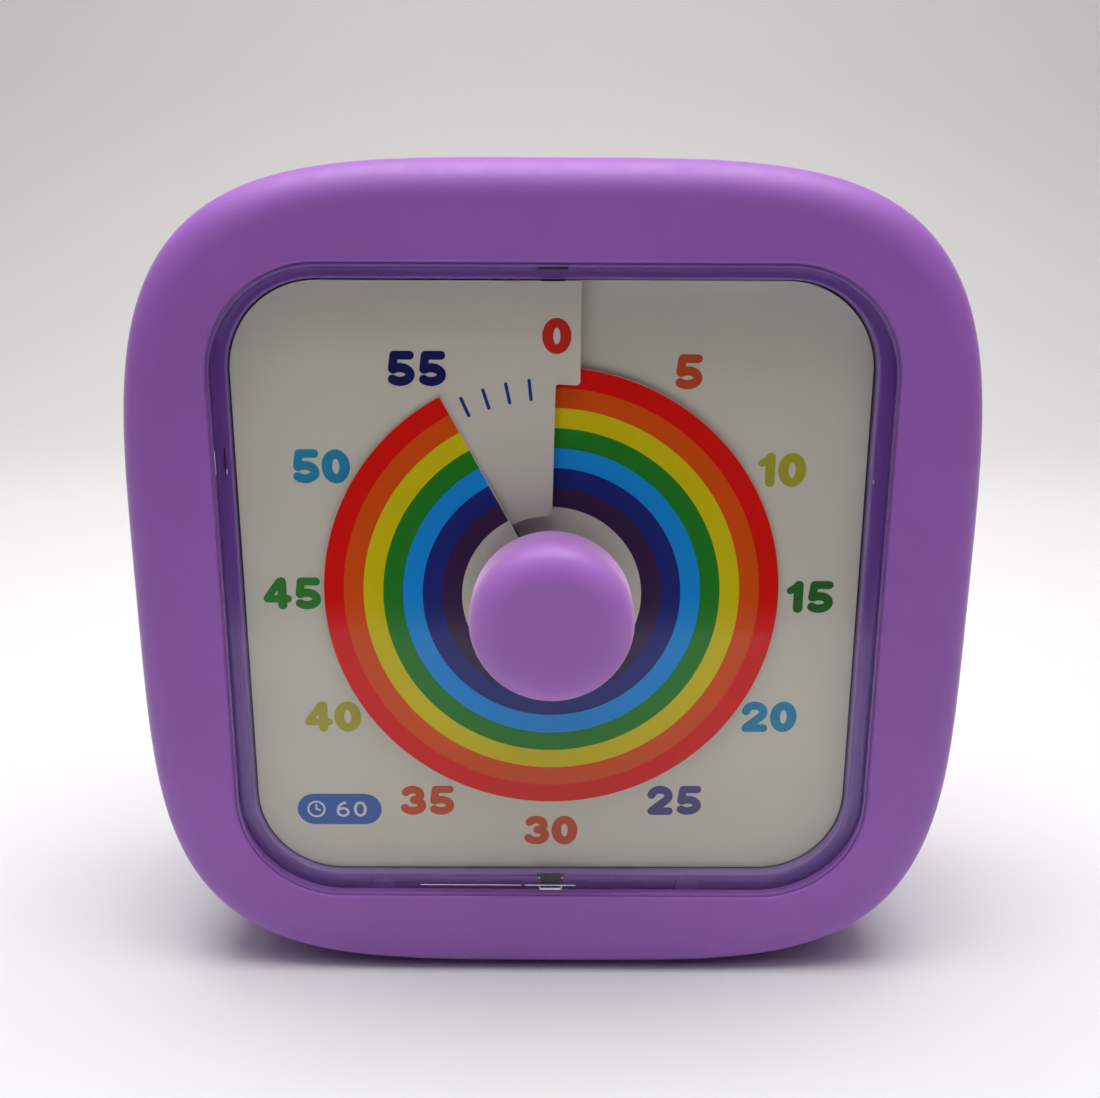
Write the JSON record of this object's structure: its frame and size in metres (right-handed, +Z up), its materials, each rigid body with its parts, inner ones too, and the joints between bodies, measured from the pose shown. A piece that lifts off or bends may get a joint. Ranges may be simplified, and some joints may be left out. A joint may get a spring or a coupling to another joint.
{
  "type": "visual countdown timer",
  "caption": "Square countdown timer in a soft lilac cover, with a rainbow disc that winds out from a slit in its white dial, a round knob, and clockwork.",
  "frame": {"origin": "under the middle of the object, on the surface that it stands on", "axes": "the dial faces -Y, +Z is up, +X is to the right in front view"},
  "size_m": [0.092, 0.044, 0.092],
  "materials": {
    "lilac_silicone": "matte moulded silicone",
    "lilac_plastic": "satin moulded plastic",
    "purple_plastic": "glossy moulded ABS",
    "clear_plastic": "clear moulded acrylic",
    "white_card": "printed satin sheet",
    "printed_disc": "seven printed colour bands, satin",
    "white_plastic": "moulded ABS",
    "gear_plastic": "moulded acetal",
    "magnet": "sintered rotor magnet",
    "brass": "stamped brass",
    "steel": "plated steel",
    "copper": "enamelled copper wire",
    "green_board": "solder mask",
    "black_plastic": "moulded plastic",
    "cell_sleeve": "printed shrink sleeve over steel"
  },
  "bodies": {
    "case": {"silicone_cover": "lilac_silicone", "front_case": "purple_plastic", "rear_case": "white_plastic", "clear_lens": "clear_plastic", "dial_plate": "white_card", "dial_tray": "white_plastic", "alarm_leaf": "brass", "stator": "steel", "coil": "copper", "movement_base": "white_plastic", "movement_cover": "white_plastic", "movement_screw_1": "steel", "movement_screw_2": "steel", "bushing_nut": "brass", "circuit_board": "green_board", "chip": "black_plastic", "crystal_can": "steel", "buzzer": "brass", "switch_body": "steel", "battery_aa": "cell_sleeve", "contact_plus": "steel", "contact_minus": "steel", "case_screw_1": "steel", "case_screw_2": "steel", "case_screw_3": "steel", "case_screw_4": "steel"},
    "knob_set": {"knob": "lilac_plastic", "spindle": "steel", "clutch_washer": "steel", "alarm_cam": "white_plastic"},
    "disc": {"rainbow_disc": "printed_disc", "disc_hub": "white_plastic"},
    "centre_wheel": {"centre_wheel": "gear_plastic"},
    "third_wheel": {"third_wheel": "gear_plastic"},
    "second_wheel": {"second_wheel": "gear_plastic"},
    "rotor": {"rotor": "magnet"},
    "door": {"battery_door": "white_plastic"},
    "slider": {"switch_slider": "black_plastic"}
  },
  "joints": [
    {"name": "knob_turn", "type": "hinge", "parent": "case", "child": "knob_set", "pos_m": [0, -0.0092, 0.046], "axis": [0, 1, 0], "range_deg": [-331.5, 28.5]},
    {"name": "disc_wind", "type": "slide", "parent": "knob_set", "child": "disc", "axis": [0, -1, 0], "range_m": [-0.00147, 0.00013]},
    {"name": "rotor_spin", "type": "hinge", "parent": "case", "child": "rotor", "pos_m": [-0.00686, -0.0092, 0.05807], "axis": [0, 1, 0], "continuous": true},
    {"name": "second_spin", "type": "hinge", "parent": "case", "child": "second_wheel", "pos_m": [0.00241, -0.0092, 0.06055], "axis": [0, 1, 0], "continuous": true},
    {"name": "third_spin", "type": "hinge", "parent": "case", "child": "third_wheel", "pos_m": [0.00858, -0.0092, 0.0532], "axis": [0, 1, 0], "continuous": true},
    {"name": "centre_spin", "type": "hinge", "parent": "case", "child": "centre_wheel", "pos_m": [0, -0.0092, 0.046], "axis": [0, 1, 0], "continuous": true},
    {"name": "door_hinge", "type": "hinge", "parent": "case", "child": "door", "pos_m": [0, 0.0189, 0.0175], "axis": [-1, 0, 0], "range_deg": [0, 95]},
    {"name": "sound_slide", "type": "slide", "parent": "case", "child": "slider", "axis": [0, 0, 1], "range_m": [-0.0025, 0.0025]}
  ],
  "couplings": [
    {"joint": "disc_wind", "follows": "knob_turn", "m_per_rad": 0.00025465},
    {"joint": "second_spin", "follows": "rotor_spin", "ratio": -0.2},
    {"joint": "third_spin", "follows": "rotor_spin", "ratio": 0.04},
    {"joint": "centre_spin", "follows": "rotor_spin", "ratio": -0.0066667}
  ]
}
